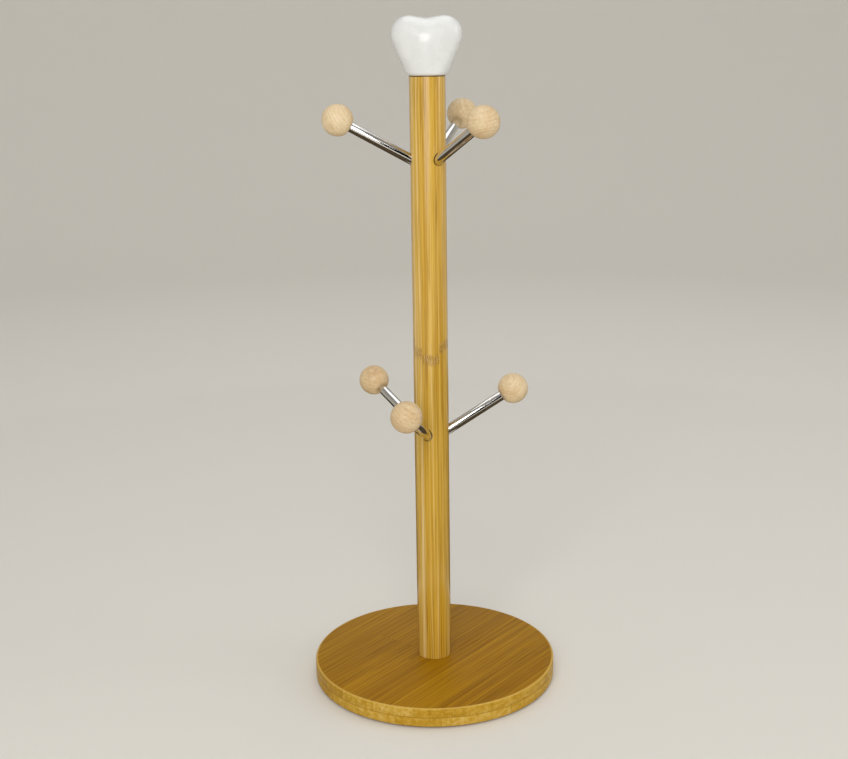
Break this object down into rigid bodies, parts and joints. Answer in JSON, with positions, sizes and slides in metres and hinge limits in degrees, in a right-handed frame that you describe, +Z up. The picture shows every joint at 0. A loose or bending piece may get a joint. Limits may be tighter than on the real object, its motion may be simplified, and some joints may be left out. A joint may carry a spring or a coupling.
{
  "type": "mug tree",
  "caption": "Free-standing mug tree: round bamboo base and post, tiers of upward-sloping steel arms with wooden ball ends, ceramic heart finial.",
  "frame": {"origin": "on the table, under the centre of the post", "axes": "+Z up along the post; the heart's face looks along -Y; +X is to the right of someone facing the heart"},
  "size_m": [0.15, 0.15, 0.4024],
  "materials": {
    "bamboo_board": "satin",
    "bamboo_post": "satin",
    "knob_wood": "satin",
    "dowel_wood": "matte",
    "polished_steel": "polished",
    "plated_steel": "satin",
    "white_glaze": "gloss",
    "pad_foam": "matte"
  },
  "bodies": {
    "stand": {"foot_pad_1": "pad_foam", "foot_pad_2": "pad_foam", "foot_pad_3": "pad_foam", "foot_pad_4": "pad_foam", "base_bottom_ply": "bamboo_board", "base_top_ply": "bamboo_board", "base_washer": "plated_steel", "base_screw": "plated_steel", "post": "bamboo_post", "finial_dowel": "dowel_wood", "heart_finial": "white_glaze"},
    "upper_arm_1": {"upper_rod_1": "polished_steel", "upper_knob_1": "knob_wood"},
    "upper_arm_2": {"upper_rod_2": "polished_steel", "upper_knob_2": "knob_wood"},
    "upper_arm_3": {"upper_rod_3": "polished_steel", "upper_knob_3": "knob_wood"},
    "lower_arm_1": {"lower_rod_1": "polished_steel", "lower_knob_1": "knob_wood"},
    "lower_arm_2": {"lower_rod_2": "polished_steel", "lower_knob_2": "knob_wood"},
    "lower_arm_3": {"lower_rod_3": "polished_steel", "lower_knob_3": "knob_wood"}
  },
  "joints": [
    {"name": "upper_arm_1_pull", "type": "slide", "parent": "stand", "child": "upper_arm_1", "axis": [-0.8698, -0.0914, 0.4848], "range_m": [0, 0.018]},
    {"name": "upper_arm_2_pull", "type": "slide", "parent": "stand", "child": "upper_arm_2", "axis": [0.5141, -0.7076, 0.4848], "range_m": [0, 0.018]},
    {"name": "upper_arm_3_pull", "type": "slide", "parent": "stand", "child": "upper_arm_3", "axis": [0.3557, 0.799, 0.4848], "range_m": [0, 0.018]},
    {"name": "lower_arm_1_pull", "type": "slide", "parent": "stand", "child": "lower_arm_1", "axis": [0.8486, 0.2116, 0.4848], "range_m": [0, 0.018]},
    {"name": "lower_arm_2_pull", "type": "slide", "parent": "stand", "child": "lower_arm_2", "axis": [-0.6076, 0.6291, 0.4848], "range_m": [0, 0.018]},
    {"name": "lower_arm_3_pull", "type": "slide", "parent": "stand", "child": "lower_arm_3", "axis": [-0.2411, -0.8407, 0.4848], "range_m": [0, 0.018]}
  ]
}
